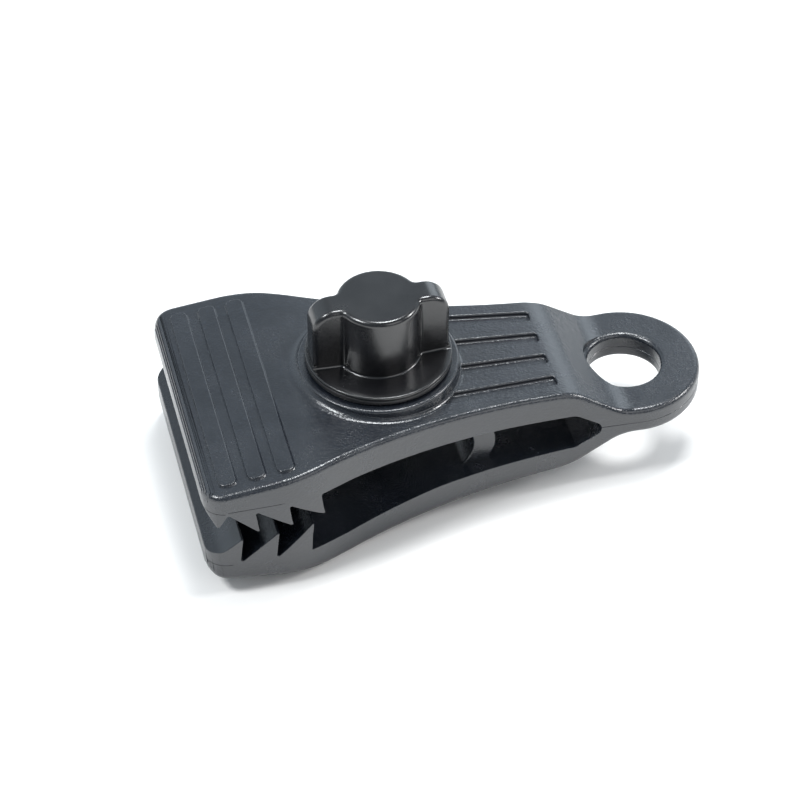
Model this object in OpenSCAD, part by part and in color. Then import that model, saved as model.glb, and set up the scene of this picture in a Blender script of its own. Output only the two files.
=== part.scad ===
// Screw clip that grips the edge of a tarpaulin and gives it an eye for a rope.
// One springy nylon moulding holds two toothed jaws, the web between them and the eye.
// A thumb knob on a steel stud draws the jaws together through a captive nut.
// The origin is the centre of the eye, on the mid plane of the moulding. X runs from the
// jaws to the eye, Y runs across the jaws, and Z points from the nut to the knob.
// Stations along the clip are distances from the screw axis, positive towards the eye.

/* [Plan of the moulding] */
// Distance from the screw axis to the centre of the eye
screw_to_eye = 39.6; // [37:0.2:44]
// Distance from the screw axis to the front edge of the jaws
screw_to_nose = 31.4; // [30:0.2:36]
// Width over the jaws
jaw_w = 43.7; // [40:0.5:48]
// Radius of the front corners of the jaws, seen from above
nose_corner_r = 3.5; // [2:0.25:6]
// Distance from the screw axis forward to where the flanks start to draw in
flare_x = 16.9; // [15:0.2:19]
// Radius of that bend in the flanks
flare_r = 23; // [12:1:26]
// Distance from the screw axis back to the middle of the hollow curve of the flanks
hollow_x = 6.2; // [4:0.2:8]
// Width between the tangents of the hollow curve, where they cross
hollow_w = 25.2; // [24.8:0.2:27]
// Radius of the hollow curve
hollow_r = 105; // [70:5:110]
// Distance from the screw axis back to the waist
waist_x = 27.5; // [26:0.5:29]
// Width at the waist
waist_w = 22.7; // [22:0.1:23.4]

/* [Side view of the moulding] */
// Height of the upper jaw's outer face above the mid plane, at the front edge
nose_h = 8.6; // [8.2:0.1:9.2]
// Depth of the lower jaw's outer face below the mid plane, at the front edge
heel_h = 8.3; // [8:0.1:9.2]
// Radius of the outer front edge of the upper jaw
nose_edge_r = 1.7; // [1:0.1:2]
// Radius of the outer front edge of the lower jaw
heel_edge_r = 2.4; // [1:0.1:2.8]
// Height of the upper jaw's front lip above the mid plane
lip_h = 5.6; // [5.2:0.1:6]
// How far that lip is set back from the front edge
lip_setback = 0.5; // [0.2:0.1:0.8]
// Depth of the lower jaw's front lip below the mid plane
heel_lip_h = 4.5; // [4:0.1:5]
// Distance from the screw axis forward to the crest of the jaws
crest_x = 12.9; // [11.5:0.1:14]
// Height of the crest above the mid plane
crest_h = 10.6; // [10.3:0.1:10.9]
// Radius that rounds the crest
crest_r = 45; // [20:1:50]
// Distance from the screw axis back to the shoulder
shoulder_x = 28.1; // [27.4:0.1:29]
// Height of the shoulder above the mid plane
shoulder_h = 7.78; // [7.3:0.02:8.2]
// Radius that rounds the shoulder
shoulder_r = 9; // [4:0.5:10]
// Distance from the screw axis back to the foot of the ramp that falls to the eye
ramp_foot_x = 36.1; // [35:0.1:37]
// Radius of the hollow at the foot of the ramp
ramp_r = 7; // [3:0.5:8]

/* [Slot between the plates] */
// Height of the upper plate's inner face behind the teeth
upper_root_h = 5.0; // [4.8:0.1:5.4]
// Height of the upper plate's inner face where the slot starts to close
upper_end_h = 3.05; // [2.8:0.05:3.3]
// Depth of the lower plate's inner face behind the teeth
lower_root_h = 5.7; // [5.4:0.1:6]
// Distance from the screw axis back to a bend in the lower plate's inner face
lower_bend_x = 6.2; // [4:0.2:9]
// Depth of the lower plate's inner face at that bend
lower_bend_h = 4.2; // [4:0.05:4.4]
// Depth of the lower plate's inner face where the slot starts to close
lower_end_h = 3.45; // [3.2:0.05:3.6]
// Distance from the screw axis back to where the slot starts to close
slot_close_x = 28.6; // [27.5:0.1:29]
// Distance from the screw axis back to where the closing faces would meet
slot_apex_x = 33.8; // [33:0.1:34]
// Radius of the closed end of the slot
slot_end_r = 1.35; // [1.2:0.05:1.6]
// Radius where the plates turn towards the closed end
slot_turn_r = 2; // [1:0.1:3]

/* [Teeth] */
// Distance between the teeth of the upper jaw
upper_pitch = 5.15; // [4.9:0.05:5.3]
// Distance between the teeth of the lower jaw
lower_pitch = 5.5; // [5.2:0.05:5.6]
// Distance from the screw axis forward to the last upper tooth
upper_last_x = 13.1; // [12.6:0.1:13.6]
// Distance from the screw axis forward to the last lower tooth
lower_last_x = 14.9; // [14.4:0.1:15.4]
// Height of the upper tips above the mid plane
upper_tip_h = 0.9; // [0.7:0.05:1.4]
// Depth of the lower tips below the mid plane
lower_tip_h = 0.3; // [0.2:0.05:0.8]
// How far each tip leans over its own root
tooth_lean = 0.5; // [0.2:0.05:0.8]
// Width of the flat on each tip
tip_flat = 0.3; // [0.2:0.05:0.5]
// How much shallower each gap of the lower teeth is than the one behind it
gap_rise = 0.3; // [0:0.05:0.4]
// Distance from the screw axis forward to the low front tooth of the upper jaw
front_tip_x = 29.9; // [29.6:0.1:30.2]
// Height of that tooth above the mid plane
front_tip_h = 3.6; // [3:0.1:4.4]
// Distance from that tooth's tip back to its root
front_tooth_l = 1.9; // [1.4:0.1:2.6]

/* [Eye] */
// Outer diameter of the eye
eye_d = 23.7; // [23.5:0.1:25]
// Diameter of the hole through the eye
eye_hole_d = 11.5; // [9:0.1:12]
// Thickness of the eye
eye_t = 4.8; // [4.4:0.1:5.2]
// Radius of the eye's outer edge
eye_edge_r = 1; // [0.5:0.1:1.4]
// Radius of the rim of the hole
eye_rim_r = 0.6; // [0.3:0.1:1]

/* [Web] */
// Distance from the screw axis back to the web's front face, on the mid plane
web_x = 12.5; // [12.2:0.1:12.8]
// Thickness of the web along the clip
web_t = 3.65; // [3:0.05:4]
// Radius of the bowed faces of the web
web_bow_r = 5.3; // [5.1:0.1:6]
// Width of the web across the clip
web_w = 20.4; // [16:0.2:21]
// Radius where the back of the web runs into the plates
web_fillet_r = 0.9; // [0.5:0.1:1.2]

/* [Bosses and finger marks] */
// Diameter of the boss under the knob and of the one round the nut
boss_d = 24.4; // [23:0.1:25]
// Height of the boss faces above the mid plane
boss_h = 11.6; // [11.3:0.1:12.4]
// Width of the bevel round the boss face
boss_bevel = 0.5; // [0.2:0.1:0.8]
// Width of the sloping foot of the boss
boss_foot = 0.6; // [0.3:0.1:0.8]
// Depth of the recessed finger marks
mark_depth = 0.5; // [0.2:0.05:0.6]
// Width of the marks across the front pad
pad_mark_w = 2.7; // [2:0.1:3]
// Length of the marks across the front pad
pad_mark_l = 39.2; // [30:0.2:39.6]
// Distance from the screw axis forward to the middle one of the marks on the pad
pad_mark_x = 23; // [22:0.1:24]
// Distance between the marks on the pad
pad_mark_pitch = 4.4; // [3.6:0.1:4.6]
// Width of the long marks behind the knob
tail_mark_w = 2.4; // [1.8:0.1:2.8]
// Distance between the rear ends of the long marks
tail_mark_pitch = 5; // [3.6:0.1:5.2]
// Angle by which neighbouring long marks spread apart towards the knob
tail_mark_fan = 3; // [0:0.5:4]
// Distance from the screw axis back to the end of the long marks
tail_mark_end = 26.1; // [24:0.1:26.4]

/* [Flex line] */
// Distance from the screw axis back to the line that the upper jaw turns about
flex_x = 13.8; // [13.4:0.1:14.4]
// Radius of the rounded rear end of the upper jaw
knuckle_r = 2.3; // [2:0.05:2.35]
// Clearance between the rounded end and its seat
knuckle_gap = 0.05; // [0.03:0.01:0.1]
// Width of the slit left beside the rounded end for the jaw to turn
flex_slit = 0.5; // [0.45:0.05:0.7]
// Clearance between the top of the web and the upper jaw
web_gap = 0.2; // [0.1:0.05:0.3]

/* [Screw and nut] */
// Diameter of the stud over its thread
stud_d = 5.9; // [5.5:0.05:6.2]
// Radial clearance between the stud and the nut's thread
thread_gap = 0.05; // [0.02:0.01:0.1]
// Diameter of the hole for the stud in the upper jaw
jaw_hole_d = 8; // [7.8:0.1:9]
// Diameter of the hole for the stud in the lower jaw
base_hole_d = 6.6; // [6.4:0.1:8]
// Width across the flats of the nut and of the stud's head
hex_af = 10; // [9:0.1:11]
// Height of the nut
nut_h = 5; // [4:0.1:5.4]
// Depth of the nut below the face of its boss
nut_recess = 0.4; // [0.2:0.1:1]
// Distance from the stud's lower end to the face of the nut's boss
stud_end_gap = 0.6; // [0.4:0.1:1.5]
// Height of the stud's head
head_h = 4; // [3:0.1:5]
// Distance from the flange's underside up to the stud's head
head_seat = 2.6; // [2:0.1:4]
// Clearance round pieces that sit in a pocket
pocket_gap = 0.03; // [0.02:0.01:0.1]

/* [Knob and washer] */
// Diameter of the knob's flange and of the washer
flange_d = 22.4; // [20:0.1:23]
// Thickness of the flange at its rim
flange_t = 0.55; // [0.5:0.05:1.5]
// How much the flange's upper face dips towards the core
flange_dip = 0.25; // [0:0.05:0.3]
// Thickness of the washer
washer_t = 0.8; // [0.6:0.05:1.5]
// Radial clearance of the washer on the stud
washer_gap = 0.1; // [0.05:0.05:0.3]
// Clearance between the washer and the boss below it
washer_lift = 0.28; // [0.28:0.02:0.5]
// Clearance between the washer and the flange that turns on it
flange_gap = 0.05; // [0.03:0.01:0.1]
// Height of the core above the flange's rim
core_h = 10.5; // [9:0.1:13]
// Diameter of the core at its top
core_top_d = 12.6; // [12.2:0.1:12.8]
// Diameter of the core at its foot
core_foot_d = 12.8; // [12.6:0.1:14]
// Radius of the core's top edge
core_edge_r = 0.7; // [0.3:0.1:1.2]
// Thickness of the wings
wing_t = 4.6; // [3.5:0.1:5.5]
// Distance over the ends of the wings
wing_span = 21.2; // [19:0.1:22]
// Distance over the flat tops of the wings
wing_flat_span = 15.6; // [14:0.1:16.5]
// Radius of the rounded ends of the wings
wing_end_r = 5.3; // [5:0.1:7]
// Radius of the long upper edges of the wings
wing_edge_r = 1.1; // [0.3:0.1:1.4]
// Distance of the wings' tops below the core's top
wing_drop = 0.2; // [0.05:0.05:1]

/* [Hidden] */

plastic = [0.15, 0.16, 0.18];
knob_plastic = [0.13, 0.14, 0.15];
washer_plastic = [0.2, 0.2, 0.21];
steel = [0.66, 0.67, 0.69];

$fn = 96;
corner_steps = 8;
overrun = 1;
teeth_per_jaw = 3;
marks_on_pad = 3;
marks_on_tail = 4;

jaw_half = jaw_w / 2;
hollow_half = hollow_w / 2;
waist_half = waist_w / 2;
eye_r = eye_d / 2;
eye_half = eye_t / 2;
boss_r = boss_d / 2;
stud_r = stud_d / 2;
hex_r = hex_af / 2 / cos(30);
flange_r = flange_d / 2;

// Slopes of the outer face, in front of the crest and behind it
pad_slope = (crest_h - nose_h) / (screw_to_nose - crest_x);
tail_slope = (shoulder_h - crest_h) / (shoulder_x + crest_x);
function pad_h(x) = nose_h + pad_slope * (x + screw_to_nose);
function tail_h(x) = crest_h + tail_slope * (x + crest_x);

// Slope of the upper plate's inner face, and its height at a station behind the teeth
inner_start_x = -upper_last_x + upper_pitch;
inner_slope = (upper_end_h - upper_root_h) / (slot_close_x - inner_start_x);
function inner_h(x) = upper_root_h + inner_slope * max(0, x - inner_start_x);

// The lower plate's inner face at a station behind its bend, and the middle of the slot
lower_slope = (lower_bend_h - lower_end_h) / (slot_close_x - lower_bend_x);
function lower_h(x) = lower_slope * (x - lower_bend_x) - lower_bend_h;
slot_mid_h = (upper_end_h - lower_end_h) / 2;

// The point that the upper jaw turns about, halfway through the plate
flex_h = (tail_h(flex_x) + inner_h(flex_x)) / 2;

// Levels along the screw axis
nut_floor = -boss_h + nut_recess;
washer_floor = boss_h + washer_lift;
flange_floor = washer_floor + washer_t + flange_gap;
rim_h = flange_floor + flange_t;
core_top = rim_h + core_h;
head_floor = flange_floor + head_seat;

function unit(v) = v / norm(v);

// Points of the arc of radius r that rounds the corner b on the way from a to c
function corner(a, b, c, r) =
    let (
        u = unit(a - b),
        w = unit(c - b),
        half = acos(u * w) / 2,
        centre = b + unit(u + w) * r / sin(half),
        from = b + u * r / tan(half) - centre,
        to = b + w * r / tan(half) - centre,
        start = atan2(from.y, from.x),
        turn = (atan2(to.y, to.x) - start + 540) % 360 - 180
    )
    [for (i = [0 : corner_steps])
        centre + r * [cos(start + turn * i / corner_steps), sin(start + turn * i / corner_steps)]];

// An outline of corners [x, y, radius] with each one rounded by its radius
function rounded(path) = [
    for (i = [0 : len(path) - 1])
        let (
            a = path[(i + len(path) - 1) % len(path)],
            b = path[i],
            c = path[(i + 1) % len(path)]
        )
        each b.z == 0 ? [[b.x, b.y]] : corner([a.x, a.y], [b.x, b.y], [c.x, c.y], b.z)
];

// Corners of one row of teeth from front to back. The tips lean back, and each gap lies
// nearer the mid plane than the one behind it by the rise.
function teeth(last_x, pitch, tip_z, root_z, rise) = [
    for (i = [0 : teeth_per_jaw - 1])
        let (
            behind = teeth_per_jaw - 1 - i,
            x = -last_x - pitch * behind
        )
        each [
            [x - tip_flat, tip_z, 0],
            [x, tip_z, 0],
            [x - tooth_lean, root_z + rise * behind, 0]
        ]
];

lower_teeth = teeth(lower_last_x, lower_pitch, -lower_tip_h, -lower_root_h, gap_rise);
upper_teeth = teeth(upper_last_x, upper_pitch, upper_tip_h, upper_root_h, 0);

// Side view of the lower plate, the eye and the upper plate, with the slot open to the front
frame_outline = rounded(concat(
    [[-screw_to_nose, -heel_lip_h, 0]],
    lower_teeth,
    [
        [-lower_last_x + lower_pitch, -lower_root_h, 0],
        [lower_bend_x, -lower_bend_h, 0],
        [slot_close_x, -lower_end_h, slot_turn_r],
        [slot_apex_x, slot_mid_h, slot_end_r],
        [slot_close_x, upper_end_h, slot_turn_r],
        [flex_x + flex_slit, inner_h(flex_x + flex_slit), 0],
        [flex_x + flex_slit, tail_h(flex_x + flex_slit), 0],
        [shoulder_x, shoulder_h, shoulder_r],
        [ramp_foot_x, eye_half, ramp_r],
        [screw_to_eye + eye_r, eye_half, 0],
        [screw_to_eye + eye_r, -eye_half, 0],
        [ramp_foot_x, -eye_half, ramp_r],
        [shoulder_x, -shoulder_h, shoulder_r],
        [-crest_x, -crest_h, crest_r],
        [-screw_to_nose, -heel_h, heel_edge_r]
    ]
));

// Side view of the part of the upper plate that turns
jaw_outline = rounded(concat(
    [
        [-screw_to_nose, nose_h, nose_edge_r],
        [-crest_x, crest_h, crest_r],
        [flex_x, tail_h(flex_x), 0],
        [flex_x, inner_h(flex_x), 0],
        [inner_start_x, upper_root_h, 0]
    ],
    [for (i = [len(upper_teeth) - 1 : -1 : 0]) upper_teeth[i]],
    [
        [-front_tip_x + front_tooth_l, upper_root_h, 0],
        [-front_tip_x + tip_flat, front_tip_h, 0],
        [-front_tip_x, front_tip_h, 0],
        [-screw_to_nose + lip_setback, lip_h, 0],
        [-screw_to_nose, lip_h + 2 * lip_setback, 0]
    ]
));

// Half of the plan outline, from the front edge to the centre of the eye
half_plan = [
    [-screw_to_nose, 0, 0],
    [-screw_to_nose, jaw_half, nose_corner_r],
    [-flare_x, jaw_half, flare_r],
    [hollow_x, hollow_half, hollow_r],
    [waist_x, waist_half, 0],
    [screw_to_eye, eye_r, 0],
    [screw_to_eye, 0, 0]
];

module at_screw() {
    translate([-screw_to_eye, 0, 0]) children();
}

// The space inside the plan outline of the moulding, over its full height
module plan_space() {
    linear_extrude(height = 2 * (crest_h + overrun), center = true) {
        polygon(rounded(half_plan));
        mirror([0, 1]) polygon(rounded(half_plan));
    }
}

// A side view outline drawn across the full width of the moulding
module across(outline) {
    rotate([90, 0, 0])
        linear_extrude(height = jaw_w + 2 * overrun, center = true)
            polygon(outline);
}

// A round bar that lies across the clip at a station and height
module cross_bar(x, h, r) {
    translate([x, 0, h])
        rotate([90, 0, 0])
            cylinder(h = jaw_w + 2 * overrun, r = r, center = true);
}

// The boss that stands on a plate round the screw, from inside the plate to its face
module boss() {
    foot_h = tail_h(-boss_r);
    translate([0, 0, upper_root_h + overrun])
        cylinder(h = boss_h - boss_bevel - upper_root_h - overrun, r = boss_r);
    translate([0, 0, boss_h - boss_bevel])
        cylinder(h = boss_bevel, r1 = boss_r, r2 = boss_r - boss_bevel);
    translate([0, 0, upper_root_h + overrun])
        cylinder(h = foot_h - boss_foot - upper_root_h - overrun, r = boss_r + boss_foot);
    translate([0, 0, foot_h - boss_foot])
        cylinder(h = 2 * boss_foot, r1 = boss_r + boss_foot, r2 = boss_r);
}

// A recess with round ends in the face at z zero. It runs from the origin towards -X.
module mark(length, width) {
    translate([0, 0, -mark_depth])
        linear_extrude(height = mark_depth + overrun) {
            translate([-length + width / 2, -width / 2])
                square([length - width, width]);
            for (x = [-width / 2, -length + width / 2])
                translate([x, 0])
                    circle(d = width);
        }
}

// The marks that run across the front pad
module pad_marks() {
    for (i = [0 : marks_on_pad - 1]) {
        x = -pad_mark_x + pad_mark_pitch * (i - (marks_on_pad - 1) / 2);
        translate([x, 0, pad_h(x)])
            rotate([0, -atan(pad_slope), 0])
                rotate([0, 0, 90])
                    translate([pad_mark_l / 2, 0, 0])
                        mark(pad_mark_l, pad_mark_w);
    }
}

// The long marks behind the knob, which stop at the foot of the boss
module tail_marks() {
    difference() {
        for (i = [0 : marks_on_tail - 1]) {
            place = i - (marks_on_tail - 1) / 2;
            translate([tail_mark_end, tail_mark_pitch * place, tail_h(tail_mark_end)])
                rotate([0, -atan(tail_slope), 0])
                    rotate([0, 0, -tail_mark_fan * place])
                        mark(tail_mark_end - boss_r / 2, tail_mark_w);
        }
        cylinder(h = crest_h + 2 * overrun, r = boss_r + boss_foot);
    }
}

// The eye, with rounded edges and no hole
module eye_disc() {
    rotate_extrude()
        polygon(rounded([
            [0, -eye_half, 0],
            [eye_r, -eye_half, eye_edge_r],
            [eye_r, eye_half, eye_edge_r],
            [0, eye_half, 0]
        ]));
}

// The hole through the eye, which opens out in a rounded rim at each face
module eye_hole() {
    cylinder(h = 2 * shoulder_h, d = eye_hole_d, center = true);
    for (side = [0, 1])
        mirror([0, 0, side])
            rotate_extrude()
                difference() {
                    translate([0, eye_half - eye_rim_r])
                        square([eye_hole_d / 2 + eye_rim_r, shoulder_h]);
                    translate([eye_hole_d / 2 + eye_rim_r, eye_half - eye_rim_r])
                        circle(r = eye_rim_r);
                }
}

// The filled corner where the bowed back of the web meets a plate's inner face at face_h.
// Its hollow arc touches both, and back_x is the centre of the bow.
module web_corner(back_x, face_h) {
    side = sign(face_h - slot_mid_h);
    rise = abs(face_h - slot_mid_h) - web_fillet_r;
    reach = sqrt(pow(web_bow_r + web_fillet_r, 2) - pow(rise, 2));
    centre = [back_x + reach, slot_mid_h + side * rise];
    turn = 90 + atan2(rise, reach);
    polygon(concat(
        [[back_x, slot_mid_h], [back_x, face_h]],
        [for (i = [0 : corner_steps])
            centre + web_fillet_r * [-sin(turn * i / corner_steps), side * cos(turn * i / corner_steps)]]
    ));
}

// The bowed web that joins the lower plate to the seat of the upper jaw
module web() {
    back_x = web_x + web_t - web_bow_r;
    front_x = web_x - web_bow_r;
    rotate([90, 0, 0])
        linear_extrude(height = web_w, center = true) {
            difference() {
                union() {
                    web_corner(back_x, inner_h(flex_x) - web_gap);
                    web_corner(back_x, lower_h(web_x));
                    intersection() {
                        translate([back_x, slot_mid_h]) circle(r = web_bow_r);
                        polygon([
                            [0, -lower_root_h],
                            [slot_close_x, -lower_root_h],
                            [slot_close_x, inner_h(slot_close_x)],
                            [flex_x + flex_slit, inner_h(flex_x + flex_slit)],
                            [flex_x + flex_slit, inner_h(flex_x) - web_gap],
                            [0, inner_h(0) - web_gap]
                        ]);
                    }
                }
                translate([front_x, slot_mid_h]) circle(r = web_bow_r);
            }
        }
}

module hex_prism(h, gap) {
    cylinder(h = h, r = hex_r + gap / cos(30), $fn = 6);
}

// The moulding without the part of the upper plate that turns
module clip_frame() {
    color(plastic)
        difference() {
            union() {
                at_screw() {
                    intersection() {
                        across(frame_outline);
                        plan_space();
                    }
                    web();
                    mirror([0, 0, 1]) boss();
                }
                eye_disc();
            }
            eye_hole();
            at_screw() {
                cross_bar(flex_x, flex_h, knuckle_r + knuckle_gap);
                tail_marks();
                translate([0, 0, -boss_h - overrun])
                    hex_prism(nut_recess + nut_h + overrun + pocket_gap, pocket_gap);
                translate([0, 0, -boss_h])
                    cylinder(h = boss_h, d = base_hole_d);
            }
        }
}

// The part of the upper plate that turns, with its teeth and the boss under the knob
module upper_jaw() {
    color(plastic)
        at_screw()
            difference() {
                union() {
                    intersection() {
                        union() {
                            across(jaw_outline);
                            cross_bar(flex_x, flex_h, knuckle_r);
                        }
                        plan_space();
                    }
                    boss();
                }
                cylinder(h = boss_h + overrun, d = jaw_hole_d);
                pad_marks();
                tail_marks();
            }
}

// Flange and core of the knob, turned about the screw axis
module knob_core() {
    rotate_extrude()
        polygon(rounded([
            [0, flange_floor, 0],
            [flange_r, flange_floor, 0],
            [flange_r, rim_h, flange_t / 2],
            [core_foot_d / 2, rim_h - flange_dip, 0],
            [core_top_d / 2, core_top, core_edge_r],
            [0, core_top, 0]
        ]));
}

// Both wings of the knob in one slab with rounded ends
module knob_wings() {
    end_x = wing_span / 2;
    flat_x = wing_flat_span / 2;
    top = core_top - wing_drop;
    // The rounded end meets the vertical face of the wing squarely
    centre_x = end_x - wing_end_r;
    centre_h = top - sqrt(pow(wing_end_r, 2) - pow(flat_x - centre_x, 2));
    half_turn = atan2(top - centre_h, flat_x - centre_x);
    arc = [for (i = [0 : corner_steps])
        [centre_x, centre_h] + wing_end_r * [cos(half_turn * i / corner_steps),
                                             sin(half_turn * i / corner_steps)]];
    floor_h = rim_h - flange_dip - flange_t / 4;
    intersection() {
        rotate([90, 0, 0])
            linear_extrude(height = wing_t, center = true)
                polygon(concat(
                    [[end_x, floor_h]],
                    arc,
                    [for (i = [corner_steps : -1 : 0]) [-arc[i].x, arc[i].y]],
                    [[-end_x, floor_h]]
                ));
        rotate([90, 0, 90])
            linear_extrude(height = wing_span + 2 * overrun, center = true)
                polygon(rounded([
                    [-wing_t / 2, floor_h, 0],
                    [wing_t / 2, floor_h, 0],
                    [wing_t / 2, top, wing_edge_r],
                    [-wing_t / 2, top, wing_edge_r]
                ]));
    }
}

module thumb_knob() {
    color(knob_plastic)
        at_screw()
            difference() {
                union() {
                    knob_core();
                    knob_wings();
                }
                translate([0, 0, head_floor - pocket_gap])
                    hex_prism(head_h + 2 * pocket_gap, pocket_gap);
                translate([0, 0, flange_floor - overrun])
                    cylinder(h = head_seat + overrun, r = stud_r + pocket_gap);
            }
}

module threaded_stud() {
    color(steel)
        at_screw() {
            translate([0, 0, -boss_h + stud_end_gap])
                cylinder(h = head_floor + boss_h - stud_end_gap, r = stud_r);
            translate([0, 0, head_floor])
                hex_prism(head_h, 0);
        }
}

module thrust_washer() {
    color(washer_plastic)
        at_screw()
            translate([0, 0, washer_floor])
                difference() {
                    cylinder(h = washer_t, r = flange_r);
                    translate([0, 0, -overrun])
                        cylinder(h = washer_t + 2 * overrun, r = stud_r + washer_gap);
                }
}

module captive_nut() {
    color(steel)
        at_screw()
            translate([0, 0, nut_floor])
                difference() {
                    hex_prism(nut_h, 0);
                    translate([0, 0, -overrun])
                        cylinder(h = nut_h + 2 * overrun, r = stud_r + thread_gap);
                }
}

clip_frame();
upper_jaw();
thumb_knob();
threaded_stud();
thrust_washer();
captive_nut();
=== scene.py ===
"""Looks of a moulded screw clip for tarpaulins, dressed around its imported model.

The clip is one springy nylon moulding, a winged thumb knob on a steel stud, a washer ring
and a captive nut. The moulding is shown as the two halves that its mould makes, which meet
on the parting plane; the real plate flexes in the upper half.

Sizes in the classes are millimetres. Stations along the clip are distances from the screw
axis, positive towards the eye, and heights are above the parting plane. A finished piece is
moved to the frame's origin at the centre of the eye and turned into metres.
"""

from __future__ import annotations

import logging
import math
from dataclasses import dataclass, field
from enum import Enum
from typing import Callable, Iterable, Sequence

import bmesh
import bpy
from mathutils import Matrix, Vector

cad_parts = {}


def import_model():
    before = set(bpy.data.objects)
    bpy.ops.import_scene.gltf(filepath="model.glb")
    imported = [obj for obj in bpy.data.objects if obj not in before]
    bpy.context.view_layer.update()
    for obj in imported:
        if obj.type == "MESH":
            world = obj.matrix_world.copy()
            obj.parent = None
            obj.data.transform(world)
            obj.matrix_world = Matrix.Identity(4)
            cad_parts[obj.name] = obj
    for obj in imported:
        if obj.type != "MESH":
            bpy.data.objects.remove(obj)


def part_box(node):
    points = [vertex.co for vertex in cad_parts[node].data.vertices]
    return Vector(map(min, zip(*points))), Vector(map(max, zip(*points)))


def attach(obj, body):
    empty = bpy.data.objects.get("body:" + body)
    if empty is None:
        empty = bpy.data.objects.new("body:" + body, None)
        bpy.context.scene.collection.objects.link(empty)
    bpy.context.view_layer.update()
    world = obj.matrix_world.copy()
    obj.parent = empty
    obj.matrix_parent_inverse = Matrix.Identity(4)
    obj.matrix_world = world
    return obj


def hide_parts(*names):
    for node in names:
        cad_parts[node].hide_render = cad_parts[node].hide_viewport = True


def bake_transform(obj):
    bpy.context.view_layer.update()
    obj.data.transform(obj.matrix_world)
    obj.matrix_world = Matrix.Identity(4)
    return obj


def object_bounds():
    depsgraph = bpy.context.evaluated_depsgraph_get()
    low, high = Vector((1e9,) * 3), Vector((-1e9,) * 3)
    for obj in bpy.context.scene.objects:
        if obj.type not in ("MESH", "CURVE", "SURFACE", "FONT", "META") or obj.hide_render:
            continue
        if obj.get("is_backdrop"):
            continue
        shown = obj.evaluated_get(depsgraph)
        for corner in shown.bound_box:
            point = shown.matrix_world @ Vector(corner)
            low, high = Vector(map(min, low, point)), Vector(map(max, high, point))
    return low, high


LOG = logging.getLogger("tarp_clip")
MM = 0.001
SAME_MM = 1e-4
POLE_MM = 1e-5
CLOUD_LOW = 0.3
CLOUD_HIGH = 0.7
Corner = tuple[float, float, float]
Point = tuple[float, float]


class Side(Enum):
    """The two halves of the moulding, with the sign of their heights."""

    UPPER = 1
    LOWER = -1


class Operation(Enum):
    """What one solid does to another."""

    JOIN = "UNION"
    CUT = "DIFFERENCE"


class Body(Enum):
    """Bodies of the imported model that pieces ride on."""

    FRAME = "frame"
    JAW = "jaw"
    WASHER = "washer"
    KNOB = "knob"


# Outlines


def round_corner(
    before: Vector, corner: Vector, after: Vector, radius: float, steps: int,
) -> list[Point]:
    """Points of the arc that rounds one corner of an outline.

    Args:
        before: The corner that comes before.
        corner: The corner to round.
        after: The corner that comes after.
        radius: Radius of the arc.
        steps: Number of chords in the arc.

    Returns:
        The arc's points in order, ends included.
    """
    back = (before - corner).normalized()
    ahead = (after - corner).normalized()
    half = back.angle(ahead) / 2
    centre = corner + (back + ahead).normalized() * radius / math.sin(half)
    first = corner + back * radius / math.tan(half) - centre
    turn = first.angle_signed(corner + ahead * radius / math.tan(half) - centre)
    points = []
    for step in range(steps + 1):
        arm = first.copy()
        arm.rotate(Matrix.Rotation(-turn * step / steps, 2))
        points.append((centre.x + arm.x, centre.y + arm.y))
    return points


def round_outline(corners: Sequence[Corner], steps: int = 6, closed: bool = True) -> list[Point]:
    """Outline of corners (x, y, radius) with each corner rounded by its radius.

    Args:
        corners: The corners in order.
        steps: Number of chords in each arc.
        closed: Whether the last corner joins the first.

    Returns:
        The outline's points.
    """
    points: list[Point] = []
    count = len(corners)
    for index, (x, y, radius) in enumerate(corners):
        at_end = not closed and index in (0, count - 1)
        if radius == 0 or at_end:
            points.append((x, y))
            continue
        before = Vector(corners[index - 1][:2])
        after = Vector(corners[(index + 1) % count][:2])
        points.extend(round_corner(before, Vector((x, y)), after, radius, steps))
    return points


@dataclass(frozen=True)
class Curve:
    """A curve over stations, straight between its points."""

    points: tuple[Point, ...]

    def at(self, x: float) -> float:
        """Value of the curve at a station, held level past its ends.

        Args:
            x: The station.

        Returns:
            The curve's value there.
        """
        points = self.points
        if x <= points[0][0]:
            return points[0][1]
        for (x0, y0), (x1, y1) in zip(points, points[1:]):
            if x <= x1:
                return y0 + (y1 - y0) * (x - x0) / (x1 - x0)
        return points[-1][1]


# Solids


def face_from(bm: bmesh.types.BMesh, points: Iterable[Sequence[float]]) -> bmesh.types.BMFace:
    """One flat face whose corners are the given points."""
    return bm.faces.new([bm.verts.new(point) for point in points])


def extrude(bm: bmesh.types.BMesh, face: bmesh.types.BMFace, offset: Sequence[float]) -> None:
    """Makes a face into a prism.

    Args:
        bm: The mesh that holds the face.
        face: The face, which stays as the prism's base.
        offset: Way from the base to the prism's far face.
    """
    made = bmesh.ops.extrude_face_region(bm, geom=[face], use_keep_orig=True)
    moved = [item for item in made["geom"] if isinstance(item, bmesh.types.BMVert)]
    bmesh.ops.translate(bm, verts=moved, vec=Vector(offset))
    bmesh.ops.recalc_face_normals(bm, faces=bm.faces[:])


def prism(
    points: Sequence[Point], start: float, end: float, across: bool = False,
) -> bmesh.types.BMesh:
    """A prism over an outline.

    Args:
        points: The outline, in plan, or in side view where the prism lies across the clip.
        start: Lower height, or the first place across the clip.
        end: Upper height, or the last place across the clip.
        across: Whether the outline is a side view and the prism runs along Y.

    Returns:
        The closed solid.
    """
    bm = bmesh.new()
    if across:
        extrude(bm, face_from(bm, [(x, start, z) for x, z in points]), (0, end - start, 0))
    else:
        extrude(bm, face_from(bm, [(x, y, start) for x, y in points]), (0, 0, end - start))
    return bm


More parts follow.
